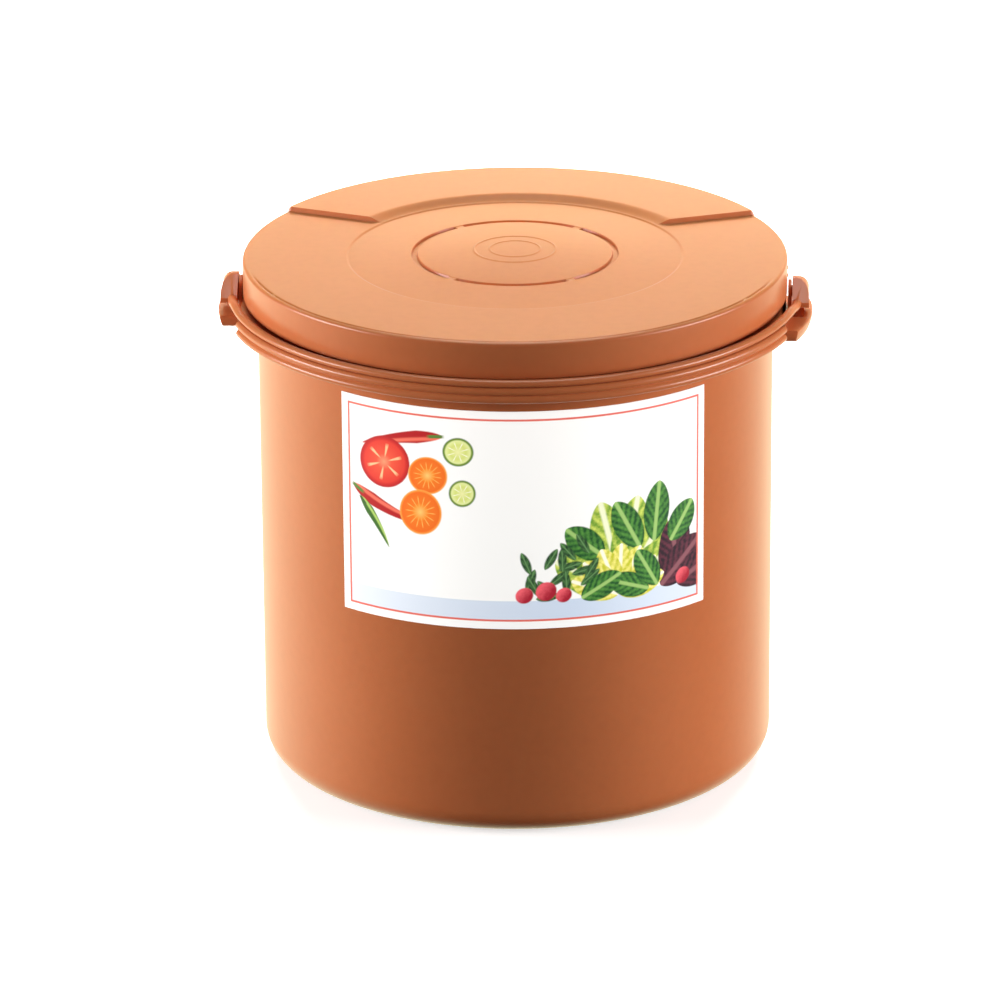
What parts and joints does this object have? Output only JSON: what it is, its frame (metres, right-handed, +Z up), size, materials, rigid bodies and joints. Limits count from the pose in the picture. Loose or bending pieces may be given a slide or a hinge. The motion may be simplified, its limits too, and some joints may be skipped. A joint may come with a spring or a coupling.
{
  "type": "kimchi container",
  "caption": "Round terracotta plastic fermentation tub with a swinging carrying bail, a skirted lift-off lid and a sliding inner press lid with lip seal and air plug.",
  "frame": {"origin": "centre of the base, on the surface that the foot ring stands on", "axes": "+Z up along the tub's axis, -Y to the front where the label is, +X to the right, through the bail's pivots"},
  "size_m": [0.3064, 0.2979, 0.2715],
  "materials": {
    "terracotta_plastic": "satin terracotta polypropylene with faint clay flecks",
    "press_lid_plastic": "pale terracotta polypropylene, fine matte texture",
    "silicone": "translucent white silicone, soft satin",
    "label_paper": null
  },
  "bodies": {
    "tub_body": {"tub": "terracotta_plastic", "label": "label_paper"},
    "bail_body": {"carry_bail": "terracotta_plastic"},
    "outer_lid_body": {"outer_lid": "terracotta_plastic", "outer_lid_gasket": "silicone"},
    "press_lid_body": {"inner_press_lid": "press_lid_plastic", "press_lid_grip": "press_lid_plastic", "press_lid_seal": "silicone"},
    "valve_body": {"air_valve_plug": "silicone"}
  },
  "joints": [
    {"name": "bail_swing", "type": "hinge", "parent": "tub_body", "child": "bail_body", "pos_m": [0, 0, 0.2506], "axis": [-1, 0, 0], "range_deg": [0, 180]},
    {"name": "outer_lid_lift", "type": "slide", "parent": "tub_body", "child": "outer_lid_body", "axis": [0, 0, 1], "range_m": [0, 0.12]},
    {"name": "press_lid_slide", "type": "slide", "parent": "tub_body", "child": "press_lid_body", "axis": [0, 0, -1], "range_m": [0, 0.2]},
    {"name": "air_plug_lift", "type": "slide", "parent": "press_lid_body", "child": "valve_body", "axis": [0, 0, 1], "range_m": [0, 0.012]}
  ]
}
